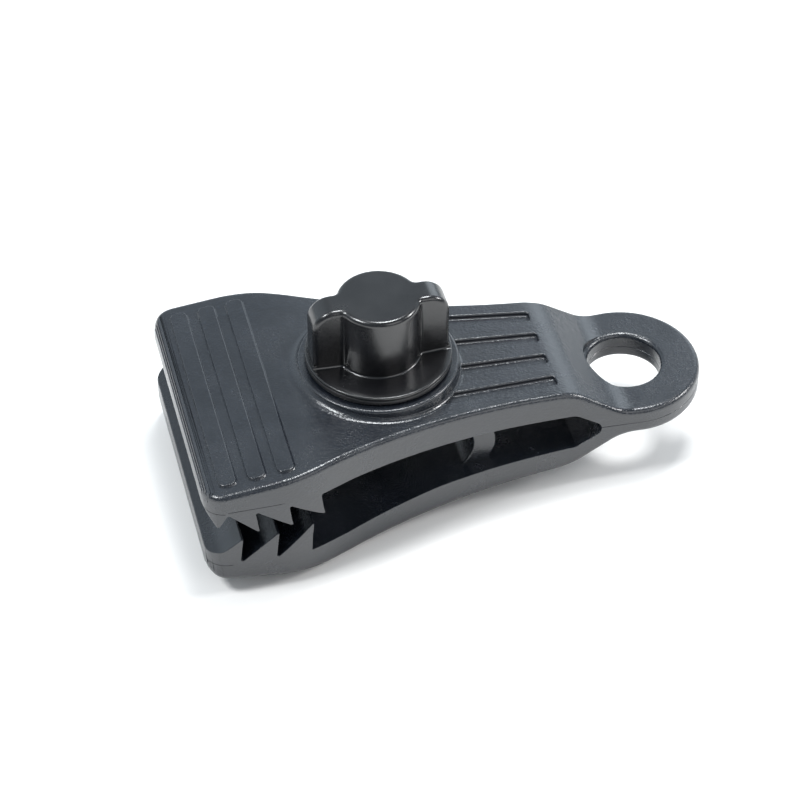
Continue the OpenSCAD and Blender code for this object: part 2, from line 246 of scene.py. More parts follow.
def lathe(profile: Sequence[Point], steps: int = 96) -> bmesh.types.BMesh:
    """A solid of revolution about Z.

    Args:
        profile: Radius and height of each point. It starts and ends on the axis, or closes
            on itself.
        steps: Number of facets round the axis.

    Returns:
        The closed solid.
    """
    bm = bmesh.new()
    verts = [bm.verts.new((radius, 0, z)) for radius, z in profile]
    edges = [bm.edges.new(pair) for pair in zip(verts, verts[1:])]
    if profile[0][0] > 0:
        edges.append(bm.edges.new((verts[-1], verts[0])))
    bmesh.ops.spin(
        bm, geom=verts + edges, cent=(0, 0, 0), axis=(0, 0, 1), dvec=(0, 0, 0),
        angle=math.tau, steps=steps, use_merge=True,
    )
    bmesh.ops.remove_doubles(bm, verts=bm.verts[:], dist=POLE_MM)
    bmesh.ops.recalc_face_normals(bm, faces=bm.faces[:])
    return bm


def hexagon(across_flats: float) -> list[Point]:
    """Corners of a hexagon with two corners on the X axis."""
    reach = across_flats / math.sqrt(3)
    return [(reach * math.cos(math.tau * i / 6), reach * math.sin(math.tau * i / 6)) for i in range(6)]


def move(bm: bmesh.types.BMesh, place: Matrix) -> bmesh.types.BMesh:
    """Moves and turns a whole solid, and gives it back."""
    bmesh.ops.transform(bm, matrix=place, verts=bm.verts[:])
    return bm


def slice_at(bm: bmesh.types.BMesh, stations: Iterable[float]) -> None:
    """Divides a solid's faces along upright planes across the clip.

    Args:
        bm: The solid.
        stations: Where the planes stand.
    """
    for x in stations:
        everything = bm.verts[:] + bm.edges[:] + bm.faces[:]
        bmesh.ops.bisect_plane(
            bm, geom=everything, dist=SAME_MM, plane_co=(x, 0, 0), plane_no=(1, 0, 0),
        )


def runs_across(face: bmesh.types.BMFace) -> bool:
    """Whether a face reaches over the middle plane of the clip."""
    places = [vert.co.y for vert in face.verts]
    return min(places) < 0 < max(places)


def round_edges(
    bm: bmesh.types.BMesh, edges: Iterable[bmesh.types.BMEdge], radius: float, segments: int,
) -> None:
    """Rounds the given edges of a solid.

    Args:
        bm: The solid.
        edges: The edges to round.
        radius: Radius of the rounding.
        segments: Number of strips in it.
    """
    bmesh.ops.bevel(
        bm, geom=list(edges), offset=radius, offset_type="OFFSET", segments=segments,
        profile=0.5, affect="EDGES", material=-1, clamp_overlap=False,
    )


def as_object(bm: bmesh.types.BMesh, name: str) -> bpy.types.Object:
    """Puts a solid into the scene, in the units that it has.

    Args:
        bm: The solid, which is used up.
        name: Name of the object and its mesh.

    Returns:
        The object.
    """
    mesh = bpy.data.meshes.new(name)
    bm.to_mesh(mesh)
    bm.free()
    piece = bpy.data.objects.new(name, mesh)
    bpy.context.scene.collection.objects.link(piece)
    return piece


def discard(piece: bpy.types.Object) -> None:
    """Removes a helper object and its mesh.

    Args:
        piece: The helper.
    """
    mesh = piece.data
    bpy.data.objects.remove(piece)
    bpy.data.meshes.remove(mesh)


def combine(
    solid: bmesh.types.BMesh, tools: Sequence[bmesh.types.BMesh], operation: Operation,
) -> bmesh.types.BMesh:
    """Joins solids to a solid, or cuts them from it.

    Args:
        solid: The solid to work on.
        tools: Solids that are added or taken away one after another.
        operation: What each tool does.

    Returns:
        The new solid. The ones given are used up.
    """
    work = as_object(solid, "work")
    for tool in tools:
        helper = as_object(tool, "tool")
        modifier = work.modifiers.new("combine", "BOOLEAN")
        modifier.operation = operation.value
        modifier.solver = "EXACT"
        modifier.object = helper
        graph = bpy.context.evaluated_depsgraph_get()
        result = bpy.data.meshes.new_from_object(work.evaluated_get(graph))
        work.modifiers.clear()
        old = work.data
        work.data = result
        bpy.data.meshes.remove(old)
        discard(helper)
    bm = bmesh.new()
    bm.from_mesh(work.data)
    discard(work)
    bmesh.ops.dissolve_degenerate(bm, dist=SAME_MM, edges=bm.edges[:])
    return bm


# Finishes


@dataclass
class NodeTable:
    """Adds nodes and links to one node tree."""

    tree: bpy.types.NodeTree

    def add(self, kind: str, **settings: object) -> bpy.types.Node:
        """Adds one node.

        Args:
            kind: Its type.
            settings: Its own settings by name.

        Returns:
            The node.
        """
        node = self.tree.nodes.new(kind)
        for key, value in settings.items():
            setattr(node, key, value)
        return node

    def link(self, source: bpy.types.NodeSocket, target: bpy.types.NodeSocket) -> None:
        """Links an output to an input."""
        self.tree.links.new(source, target)

    def math(self, operation: str, first: object, second: object) -> bpy.types.NodeSocket:
        """Adds a Math node.

        Args:
            operation: What it works out.
            first: Its first input, a socket or a number.
            second: Its second input, a socket or a number.

        Returns:
            Its output.
        """
        node = self.add("ShaderNodeMath", operation=operation)
        for socket, value in zip(node.inputs, (first, second)):
            if isinstance(value, bpy.types.NodeSocket):
                self.link(value, socket)
            else:
                socket.default_value = value
        return node.outputs[0]

    def noise(self, vector: bpy.types.NodeSocket, scale: object, detail: float) -> bpy.types.NodeSocket:
        """Adds a noise texture.

        Args:
            vector: Where it is read.
            scale: Its scale, a socket or a number.
            detail: How many finer layers it has.

        Returns:
            Its value.
        """
        node = self.add("ShaderNodeTexNoise")
        node.inputs["Detail"].default_value = detail
        self.link(vector, node.inputs["Vector"])
        if isinstance(scale, bpy.types.NodeSocket):
            self.link(scale, node.inputs["Scale"])
        else:
            node.inputs["Scale"].default_value = scale
        return node.outputs["Fac"]

    def spread(
        self, value: bpy.types.NodeSocket, low: float, high: float, start: float, end: float,
    ) -> bpy.types.NodeSocket:
        """Adds a Map Range node that eases from one range to another.

        Args:
            value: The value to map.
            low: Value that gives the start.
            high: Value that gives the end.
            start: Output at the low value.
            end: Output at the high value.

        Returns:
            Its output.
        """
        node = self.add("ShaderNodeMapRange", interpolation_type="SMOOTHSTEP")
        for name, number in zip(("From Min", "From Max", "To Min", "To Max"), (low, high, start, end)):
            node.inputs[name].default_value = number
        self.link(value, node.inputs["Value"])
        return node.outputs["Result"]


def mould_grain() -> bpy.types.NodeTree:
    """Builds or finds the node group for the grain that a spark-eroded mould leaves.

    Returns:
        The group. Height is the grain's relief, the second output marks its crests, where the plastic
        is made shinier and its colour is lifted as painted glints, and Cloud is a slow change of tone
        from place to place.
    """
    name = "mould_grain"
    if name in bpy.data.node_groups:
        return bpy.data.node_groups[name]
    group = bpy.data.node_groups.new(name, "ShaderNodeTree")
    sockets = group.interface
    sockets.new_socket("Vector", in_out="INPUT", socket_type="NodeSocketVector")
    sockets.new_socket("Grain Scale", in_out="INPUT", socket_type="NodeSocketFloat")
    sockets.new_socket("Cloud Scale", in_out="INPUT", socket_type="NodeSocketFloat")
    for output in ("Height", "Fleck", "Cloud"):
        sockets.new_socket(output, in_out="OUTPUT", socket_type="NodeSocketFloat")
    table = NodeTable(group)
    inlet = table.add("NodeGroupInput")
    outlet = table.add("NodeGroupOutput")
    vector = inlet.outputs["Vector"]
    fine = table.noise(vector, inlet.outputs["Grain Scale"], 2.0)
    coarse = table.noise(vector, table.math("MULTIPLY", inlet.outputs["Grain Scale"], 0.42), 3.0)
    height = table.math("ADD", table.math("MULTIPLY", fine, 0.6), table.math("MULTIPLY", coarse, 0.4))
    table.link(height, outlet.inputs["Height"])
    table.link(table.spread(height, 0.52, 0.68, 0.0, 1.0), outlet.inputs["Fleck"])
    table.link(table.noise(vector, inlet.outputs["Cloud Scale"], 4.0), outlet.inputs["Cloud"])
    return group


@dataclass(frozen=True)
class MouldedPlastic:
    """A moulded plastic surface with a fine grain, its colour lifted on the grain's crests as painted
    glints.
    """

    name: str
    slot: str
    colour: tuple[float, float, float]
    roughness: float
    grain_mm: float = 0.3
    grain_depth_mm: float = 0.02
    # Share of colour lifted on the grain's crests: painted glints.
    painted_glint: float = 0.25
    cloud_mm: float = 6.0
    specular: float = 0.5
    glint_shine: float = 0.08
    dull_swing: float = 0.035

    def material(self) -> bpy.types.Material:
        """Builds the material for this finish.

        Returns:
            A material whose colour, roughness and relief follow the grain.
        """
        material = bpy.data.materials.new(self.name)
        material.use_nodes = True
        table = NodeTable(material.node_tree)
        shader = material.node_tree.nodes["Principled BSDF"]
        shader.inputs["Specular IOR Level"].default_value = self.specular
        place = table.add("ShaderNodeTexCoord").outputs["Object"]
        grain = table.add("ShaderNodeGroup", node_tree=mould_grain())
        table.link(place, grain.inputs["Vector"])
        grain.inputs["Grain Scale"].default_value = 1 / (self.grain_mm * MM)
        grain.inputs["Cloud Scale"].default_value = 1 / (self.cloud_mm * MM)

        tone = table.spread(grain.outputs["Cloud"], CLOUD_LOW, CLOUD_HIGH, 0.9, 1.12)
        # Painted glints: the colour is lifted on the grain's crests, on top of the slow random tone.
        lift = table.math("MULTIPLY_ADD", grain.outputs["Fleck"], self.painted_glint)
        table.link(tone, lift.node.inputs[2])
        shade = table.add("ShaderNodeVectorMath", operation="SCALE")
        shade.inputs[0].default_value = self.colour
        table.link(lift, shade.inputs["Scale"])
        table.link(shade.outputs[0], shader.inputs["Base Color"])

        swing = self.dull_swing
        dull = table.spread(grain.outputs["Cloud"], CLOUD_LOW, CLOUD_HIGH, -swing, swing)
        shine = table.math("MULTIPLY", grain.outputs["Fleck"], self.glint_shine)
        rough = table.math("SUBTRACT", self.roughness, shine)
        table.link(table.math("ADD", rough, dull), shader.inputs["Roughness"])

        bump = table.add("ShaderNodeBump")
        bump.inputs["Strength"].default_value = 1.0
        bump.inputs["Distance"].default_value = self.grain_depth_mm * MM
        table.link(grain.outputs["Height"], bump.inputs["Height"])
        table.link(bump.outputs["Normal"], shader.inputs["Normal"])
        return material


@dataclass(frozen=True)
class PlatedSteel:
    """Zinc plated steel with a faint drawn grain."""

    name: str
    slot: str
    colour: tuple[float, float, float] = (0.6, 0.6, 0.61)
    roughness: float = 0.3
    grain_mm: float = 0.4
    cloud_mm: float = 3.0

    def material(self) -> bpy.types.Material:
        """Builds the material for this finish.

        Returns:
            A metal whose roughness and tone change in fine streaks.
        """
        material = bpy.data.materials.new(self.name)
        material.use_nodes = True
        table = NodeTable(material.node_tree)
        shader = material.node_tree.nodes["Principled BSDF"]
        shader.inputs["Metallic"].default_value = 1.0
        place = table.add("ShaderNodeTexCoord").outputs["Object"]
        grain = table.add("ShaderNodeGroup", node_tree=mould_grain())
        table.link(place, grain.inputs["Vector"])
        grain.inputs["Grain Scale"].default_value = 1 / (self.grain_mm * MM)
        grain.inputs["Cloud Scale"].default_value = 1 / (self.cloud_mm * MM)
        shade = table.add("ShaderNodeVectorMath", operation="SCALE")
        shade.inputs[0].default_value = self.colour
        tone = table.spread(grain.outputs["Cloud"], CLOUD_LOW, CLOUD_HIGH, 0.8, 1.1)
        table.link(tone, shade.inputs["Scale"])
        table.link(shade.outputs[0], shader.inputs["Base Color"])
        smooth, dull = self.roughness - 0.06, self.roughness + 0.1
        rough = table.spread(grain.outputs["Height"], CLOUD_LOW, CLOUD_HIGH, smooth, dull)
        table.link(rough, shader.inputs["Roughness"])
        return material


# Pieces


@dataclass
class Workshop:
    """Finishes solids as pieces of the clip: places them, shades them and logs them."""

    screw_x: float
    smooth_angle: float = 32.0

    def finish(
        self, bm: bmesh.types.BMesh, name: str, look: MouldedPlastic | PlatedSteel,
    ) -> bpy.types.Object:
        """Turns a solid in millimetres about the screw axis into a piece in the frame.

        Args:
            bm: The solid, which is used up.
            name: The piece's name.
            look: The finish of its surface.

        Returns:
            The piece, with its place in its mesh.
        """
        bmesh.ops.remove_doubles(bm, verts=bm.verts[:], dist=SAME_MM)
        bmesh.ops.recalc_face_normals(bm, faces=bm.faces[:])
        move(bm, Matrix.Scale(MM, 4) @ Matrix.Translation((self.screw_x, 0, 0)))
        piece = as_object(bm, name)
        piece.data.shade_smooth()
        piece.data.set_sharp_from_angle(angle=math.radians(self.smooth_angle))
        normals = piece.modifiers.new("weighted", "WEIGHTED_NORMAL")
        normals.keep_sharp = True
        piece.data.materials.append(look.material())
        return piece

    def report(self, piece: bpy.types.Object, body: str) -> None:
        """Logs one finished piece."""
        LOG.info("%s: %d faces, on %s", piece.name, len(piece.data.polygons), body)


@dataclass
class Plan:
    """The moulding seen from above: half its width at each station."""

    nose_x: float = -31.4
    jaw_half: float = 21.85
    corner_r: float = 3.5
    flare: Corner = (-16.9, 21.85, 23.0)
    hollow: Corner = (6.2, 12.6, 105.0)
    waist: Corner = (27.5, 11.35, 0.0)
    eye_r: float = 11.85
    eye_steps: int = 22

    def curve(self, eye_x: float) -> Curve:
        """Half width over the stations.

        Args:
            eye_x: Station of the centre of the eye.

        Returns:
            The curve from the front edge to just short of the eye's far end.
        """
        corners = [
            (self.nose_x, 0.0, 0.0),
            (self.nose_x, self.jaw_half, self.corner_r),
            self.flare,
            self.hollow,
            self.waist,
            (eye_x, self.eye_r, 0.0),
        ]
        points = round_outline(corners, steps=12, closed=False)[1:]
        for step in range(1, self.eye_steps):
            turn = math.pi / 2 * (1 - step / self.eye_steps)
            points.append((eye_x + self.eye_r * math.cos(turn), self.eye_r * math.sin(turn)))
        return Curve(tuple(points))


@dataclass
class Teeth:
    """One row of teeth that lean back."""

    last_x: float
    pitch: float
    tip_z: float
    root_z: float
    gap_rise: float = 0.0
    count: int = 3
    lean: float = 0.5
    flat: float = 0.3
    tip_r: float = 0.12
    root_r: float = 0.25

    def corners(self) -> list[Corner]:
        """Works out the row.

        Returns:
            Its corners from front to back.
        """
        made: list[Corner] = []
        for behind in range(self.count - 1, -1, -1):
            x = self.last_x - self.pitch * behind
            made.append((x - self.flat, self.tip_z, self.tip_r))
            made.append((x, self.tip_z, self.tip_r))
            made.append((x - self.lean, self.root_z + self.gap_rise * behind, self.root_r))
        return made


@dataclass
class Mark:
    """A long mark with rounded corners, either cut into a face or raised on it."""

    length: float
    width: float
    corner_r: float
    height: float = 0.7
    rim_r: float = 0.3
    foot_r: float = 0.25
    root: float = 2.0
    steps: int = 32

    def cutter(self) -> bmesh.types.BMesh:
        """Builds the tool that cuts the mark from a face at height zero.

        Returns:
            The closed solid. It runs from the origin to -X.
        """
        profile: list[Point] = [(0.0, -self.height)]
        for step in range(4):
            turn = math.radians(90 * step / 3)
            profile.append((
                self.corner_r - self.foot_r + self.foot_r * math.sin(turn),
                -self.height + self.foot_r - self.foot_r * math.cos(turn),
            ))
        for step in range(6):
            turn = math.radians(80 * step / 5)
            profile.append((
                self.corner_r + self.rim_r * (1 - math.cos(turn)),
                -self.rim_r * (1 - math.sin(turn)),
            ))
        flare = profile[-1][0]
        profile.append((flare + self.rim_r, self.rim_r / 3))
        profile.append((flare + self.rim_r, 2 * self.height))
        profile.append((0.0, 2 * self.height))
        return self.stretch(profile, self.corner_r + self.rim_r)

    def strip(self) -> bmesh.types.BMesh:
        """Builds the mark as a strip that stands on a face at height zero.

        Returns:
            The closed solid. It runs from the origin to -X and reaches below the face.
        """
        profile: list[Point] = [(0.0, self.height)]
        for step in range(6):
            turn = math.radians(85 * step / 5)
            profile.append((
                self.corner_r - self.rim_r * (1 - math.sin(turn)),
                self.height - self.rim_r * (1 - math.cos(turn)),
            ))
        foot = self.corner_r + self.foot_r
        profile.append((self.corner_r + 0.02, 0.6 * self.foot_r))
        profile.append((foot, -0.25 * self.foot_r))
        profile += [(foot, -self.root), (0.0, -self.root)]
        return self.stretch(profile, self.corner_r)

    def stretch(self, profile: Sequence[Point], end_r: float) -> bmesh.types.BMesh:
        """Turns a round solid into one with the mark's length and width.

        Args:
            profile: Radius and height of the round solid's points.
            end_r: Radius that ends up at the mark's ends and sides.

        Returns:
            The closed solid, which runs from the origin to -X.
        """
        bm = lathe(profile, self.steps)
        move(bm, Matrix.Rotation(math.pi / self.steps, 4, "Z"))
        reach = Vector((self.length, self.width)) / 2 - Vector((1, 1)) * end_r
        for vert in bm.verts:
            if vert.co.xy.length > 1e-6:
                vert.co.x += math.copysign(reach.x, vert.co.x)
                vert.co.y += math.copysign(reach.y, vert.co.y)
        return move(bm, Matrix.Translation((-self.length / 2, 0, 0)))


@dataclass
class Boss:
    """The boss that stands on a plate round the screw, with a hollow foot that follows the plate."""

    radius: float = 12.35
    face_z: float = 11.6
    edge_r: float = 0.4
    foot_r: float = 0.8
    front_foot_r: float = 2.0
    inner_r: float = 4.0
    root: float = 2.0
    skirt_w: float = 0.5
    skirt_drop: float = 0.1
    steps: int = 120

    def solid(self, plate: Callable[[float], float]) -> bmesh.types.BMesh:
        """Builds the boss of the upper plate.

        Args:
            plate: Height of the plate's outer face at a station.

        Returns:
            The closed ring, which reaches down into the plate.
        """
        edge_rows, foot_rows = 7, 8
        rows = 2 + edge_rows + foot_rows + 2
        bm = bmesh.new()
        row_of = bm.verts.layers.int.new("row")
        base = [bm.verts.new((self.radius, 0, -row)) for row in range(rows)]
        for row, vert in enumerate(base):
            vert[row_of] = row
        edges = [bm.edges.new(pair) for pair in zip(base, base[1:] + base[:1])]
        bmesh.ops.spin(
            bm, geom=base + edges, cent=(0, 0, 0), axis=(0, 0, 1), dvec=(0, 0, 0),
            angle=math.tau, steps=self.steps, use_merge=True,
        )
        flat_r = self.radius - self.edge_r
        for vert in bm.verts:
            around = math.atan2(vert.co.y, vert.co.x)
            forward = max(0.0, -math.cos(around)) ** 2
            foot_r = self.foot_r + (self.front_foot_r - self.foot_r) * forward
            drop = self.face_z - plate((self.radius + foot_r / 2) * math.cos(around))
            bend = math.acos(max(0.15, 1 - drop / (self.edge_r + foot_r)))
            foot_c = flat_r + (self.edge_r + foot_r) * math.sin(bend)
            row = vert[row_of]
            if row in (0, rows - 1):
                radius = self.inner_r if row == 0 else foot_c + self.skirt_w
                z = self.face_z - drop - self.root
            elif row == 1:
                radius, z = self.inner_r, self.face_z
            elif row < 2 + edge_rows:
                turn = bend * (row - 2) / (edge_rows - 1)
                radius = flat_r + self.edge_r * math.sin(turn)
                z = self.face_z - self.edge_r * (1 - math.cos(turn))
            elif row < 2 + edge_rows + foot_rows:
                turn = bend * (1 - (row - 2 - edge_rows) / (foot_rows - 0.4))
                radius = foot_c - foot_r * math.sin(turn)
                z = plate(radius * math.cos(around)) + foot_r * (1 - math.cos(turn))
            else:
                radius = foot_c + self.skirt_w
                z = plate(radius * math.cos(around)) - self.skirt_drop
            vert.co = (radius * math.cos(around), radius * math.sin(around), z)
        bmesh.ops.recalc_face_normals(bm, faces=bm.faces[:])
        return bm


@dataclass
class Moulding:
    """The springy body of the clip: two toothed jaws, the web between them and the eye."""

    workshop: Workshop
    look: MouldedPlastic
    eye_x: float
    plan: Plan = field(default_factory=Plan)
    upper_teeth: Teeth = field(default_factory=lambda: Teeth(-13.1, 5.15, 0.9, 5.0))
    lower_teeth: Teeth = field(default_factory=lambda: Teeth(-14.9, 5.5, -0.3, -5.7, 0.3))
    crest: Corner = (-12.9, 10.6, 45.0)
    shoulder: Corner = (28.1, 7.78, 9.0)
    ramp_foot: Corner = (36.1, 2.4, 7.0)
    nose: Corner = (-31.4, 8.6, 1.7)
    heel: Corner = (-31.4, -8.3, 2.4)
    eye_half: float = 2.4
    eye_hole_r: float = 5.75
    eye_rim_r: float = 0.75
    eye_under_r: float = 1.4
    round_steps: int = 6
    upper_edge_r: float = 0.85
    lower_edge_r: float = 1.2
    inner_edge_r: float = 0.2
    web_x: float = 12.5
    web_t: float = 3.65
    web_bow_r: float = 5.3
    web_w: float = 20.4
    web_edge_r: float = 0.35
    slot_mid_z: float = -0.2
    pad_mark_x: float = -23.0
    pad_mark_pitch: float = 4.4
    tail_mark_x: float = 26.4
    tail_mark_pitch: float = 5.0
    tail_mark_fan: float = 3.0
    mark_stop_r: float = 12.7
    screw_hole_r: float = 3.3
    upper_hole_r: float = 4.0
    nut_af: float = 10.06
    nut_depth: float = 5.43
    flex_start: float = 10.0
    flex_end: float = 18.0
    parting_r: float = 0.07
    witness_w: float = 0.09
    witness: tuple[Corner, ...] = ((5.55, -33.0, -28.4), (5.8, -28.0, -18.6), (-5.2, -33.0, -27.6))

    def outer_corners(self) -> list[Corner]:
        """Corners of the upper outer face in side view, from front to back."""
        return [self.nose, self.crest, self.shoulder, self.ramp_foot]

    def heel_corners(self) -> list[Corner]:
        """Corners of the lower outer face in side view, from front to back."""
        lower = [(x, -z, r) for x, z, r in self.outer_corners()[1:]]
        return [self.heel] + lower

    def outer_curve(self, side: Side) -> Curve:
        """Height of an outer face over the stations.

        Args:
            side: The half that has the face.

        Returns:
            The curve from the front edge to the eye's far end.
        """
        corners = self.outer_corners() if side is Side.UPPER else self.heel_corners()
        end = (self.eye_x + self.plan.eye_r, side.value * self.eye_half, 0.0)
        front = (corners[0][0], 0.0, 0.0)
        points = round_outline([front, *corners, end], steps=self.round_steps, closed=False)
        return Curve(tuple(points[1:]))

    def side_outline(self, far_x: float) -> list[Point]:
        """Side view of the whole moulding, open to the front between the jaws.

        Args:
            far_x: Station where the eye ends.

        Returns:
            The outline's points.
        """
        upper_row = [*self.upper_teeth.corners()]
        inner = [
            (self.nose[0], -3.25, 0.3),
            (-29.3, -2.6, 4.0),
            *self.lower_teeth.corners(),
            (-9.4, -5.7, 1.5),
            (6.2, -4.2, 6.0),
            (28.6, -3.45, 2.0),
            (33.8, self.slot_mid_z, 1.35),
            (28.6, 3.05, 2.0),
            (-7.95, 5.0, 6.0),
            *reversed(upper_row),
            (-28.05, 5.2, 0.25),
            (-29.4, 2.65, 0.12),
            (-29.7, 2.65, 0.12),
            (self.nose[0], 5.9, 0.4),
        ]
        far_edge = [(far_x, self.eye_half, 0.0), (far_x, -self.eye_half, 0.0)]
        corners = inner + self.outer_corners() + far_edge + list(reversed(self.heel_corners()))
        return round_outline(corners, steps=self.round_steps)

    def blank(self) -> bmesh.types.BMesh:
        """Builds the moulding before its marks, holes and bosses.

        Returns:
            The closed solid, with rounded edges.
        """
        half_width = self.plan.curve(self.eye_x)
        stations = [x for x, _ in half_width.points]
        bm = prism(self.side_outline(stations[-1]), -1.0, 1.0, across=True)
        slice_at(bm, stations[1:-1])
        for vert in bm.verts:
            vert.co.y *= half_width.at(vert.co.x)
        bm.normal_update()
        self.round_rims(bm, stations[-1])
        return bm

    def round_rims(self, bm: bmesh.types.BMesh, far_x: float) -> None:
        """Rounds the edges along the outline on both flanks.

        Args:
            bm: The moulding with sharp edges.
            far_x: Station where the eye ends.
        """
        tolerance = 1e-3
        curves = {side: self.outer_curve(side) for side in Side}

        def on_outer(vert: bmesh.types.BMVert, side: Side) -> bool:
            """Whether a corner lies on the outer face of a half."""
            return abs(vert.co.z - curves[side].at(vert.co.x)) < tolerance

        marks = bm.edges.layers.int.new("rim")
        rims: dict[Side | None, list[bmesh.types.BMEdge]] = {
            Side.UPPER: [], Side.LOWER: [], None: [],
        }
        for edge in bm.edges:
            first, second = edge.verts
            crosses = first.co.y * second.co.y < 0
            if crosses:
                at_end = all(abs(vert.co.x - far_x) < tolerance for vert in edge.verts)
                if not at_end:
                    continue
            elif len({runs_across(face) for face in edge.link_faces}) == 1:
                continue
            upright = abs(first.co.x - second.co.x) < tolerance
            side = None
            for choice in Side:
                if on_outer(first, choice) and on_outer(second, choice) and (crosses or not upright):
                    side = choice
            if side is None and (crosses or upright):
                continue
            rims[side].append(edge)
        for number, side in enumerate((Side.UPPER, Side.LOWER, None), start=1):
            for edge in rims[side]:
                edge[marks] = number
        for number, radius, segments in (
            (1, self.upper_edge_r, 5), (2, self.lower_edge_r, 5), (3, self.inner_edge_r, 2),
        ):
            round_edges(bm, [edge for edge in bm.edges if edge[marks] == number], radius, segments)
            for edge in bm.edges:
                if edge[marks] == number:
                    edge[marks] = 0

    def pad_marks(self) -> list[bmesh.types.BMesh]:
        """Builds the raised strips across the front pad.

        Returns:
            The closed strips, which reach into the pad.
        """
        outer = self.outer_curve(Side.UPPER)
        mark = Mark(length=39.2, width=2.7, corner_r=1.05, height=0.36, rim_r=0.2)
        strips = []
        for place in (-1, 0, 1):
            x = self.pad_mark_x + self.pad_mark_pitch * place
            slope = (outer.at(x + mark.width / 2) - outer.at(x - mark.width / 2)) / mark.width
            turn = Matrix.Rotation(-math.atan(slope), 4, "Y") @ Matrix.Rotation(math.pi / 2, 4, "Z")
            centre = Matrix.Translation((mark.length / 2, 0, 0))
            strips.append(move(mark.strip(), Matrix.Translation((x, 0, outer.at(x))) @ turn @ centre))
        return strips

    def tail_marks(self) -> list[bmesh.types.BMesh]:
        """Builds the cutters of the long marks between the knob and the shoulder.

        Returns:
            The cutters, which stop short of the boss.
        """
        slope = (self.shoulder[1] - self.crest[1]) / (self.shoulder[0] - self.crest[0])
        height = self.crest[1] + slope * (self.tail_mark_x - self.crest[0])
        mark = Mark(length=19.0, width=2.5, corner_r=0.5)
        turn = [math.tau * i / 96 for i in range(96)]
        stop_r = self.mark_stop_r
        keep_out = [(stop_r * math.cos(angle), stop_r * math.sin(angle)) for angle in turn]
        cutters = []
        for place in (-1.5, -0.5, 0.5, 1.5):
            tilt = Matrix.Rotation(-math.atan(slope), 4, "Y")
            fan = Matrix.Rotation(math.radians(-self.tail_mark_fan * place), 4, "Z")
            spot = Matrix.Translation((self.tail_mark_x, self.tail_mark_pitch * place, height))
            placed = move(mark.cutter(), spot @ tilt @ fan)
            cutters.append(combine(placed, [prism(keep_out, 0, 2 * height)], Operation.CUT))
        return cutters

    def eye_cutter(self) -> bmesh.types.BMesh:
        """Builds the cutter of the hole through the eye.

        Returns:
            The cutter, which leaves a rounded rim at each face.
        """
        clear_z = 2 * self.shoulder[1]
        profile: list[Point] = []
        for radius, sign in ((self.eye_rim_r, 1), (self.eye_under_r, -1)):
            rim_x = self.eye_hole_r + radius
            rim_z = self.eye_half - radius
            over_z = self.eye_half + 0.02
            side = [(0.0, sign * clear_z), (rim_x, sign * clear_z), (rim_x, sign * over_z)]
            for step in range(9):
                turn = math.radians(80 - 80 * step / 8)
                side.append((rim_x - radius * math.cos(turn), sign * (rim_z + radius * math.sin(turn))))
            profile += side if sign > 0 else reversed(side)
        return move(lathe(profile, 96), Matrix.Translation((self.eye_x, 0, 0)))

    def witness_lines(self) -> list[bmesh.types.BMesh]:
        """Builds the cutters of the fine lines where the mould's jaw inserts met its sides.

        Returns:
            One thin frame for each line.
        """
        cutters = []
        for height, front_x, back_x in self.witness:
            depth = self.witness_w
            reach = self.plan.jaw_half - depth
            corner_r = self.plan.corner_r - depth
            nose = self.plan.nose_x + depth
            inside = round_outline([
                (back_x, reach, 0.0), (back_x, -reach, 0.0),
                (nose, -reach, corner_r), (nose, reach, corner_r),
            ], steps=12)
            far = 2 * reach
            outside = [(front_x, -far), (back_x, -far), (back_x, far), (front_x, far)]
            low, high = height - self.witness_w / 2, height + self.witness_w / 2
            frame = prism(outside, low, high)
            cutters.append(combine(frame, [prism(inside, low - 1, high + 1)], Operation.CUT))
        return cutters

    def web(self) -> bmesh.types.BMesh:
        """Builds the bowed web.

        Returns:
            The closed solid, which reaches a little way into both plates.
        """
        top, bottom = 4.6, -5.0
        back_low_w, back_high_w, front_w = 2.4, 2.6, 0.9
        back_c = self.web_x + self.web_t - self.web_bow_r
        front_c = self.web_x - self.web_bow_r
        steps = 12

        def bow(centre: float, z: float) -> float:
            """Station of a bowed face at a height."""
            return centre + math.sqrt(self.web_bow_r**2 - (z - self.slot_mid_z) ** 2)

        def arc(centre: float, low: float, high: float) -> list[Point]:
            """Points of a bowed face from one height to another."""
            heights = [low + (high - low) * step / steps for step in range(steps + 1)]
            return [(bow(centre, z), z) for z in heights]

        back = [(bow(back_c, bottom) + back_low_w, bottom)]
        back += arc(back_c, -3.3, 3.0)
        back += [(bow(back_c, top) + back_high_w, top)]
        front = [(bow(front_c, top) - front_w, top)]
        front += arc(front_c, 3.5, -3.8)
        front += [(bow(front_c, bottom) - front_w, bottom)]
        bm = prism(back + front, -self.web_w / 2, self.web_w / 2, across=True)
        ends = [edge for edge in bm.edges if abs(edge.verts[0].co.y - edge.verts[1].co.y) < 1e-6]
        round_edges(bm, ends, self.web_edge_r, 3)
        return bm

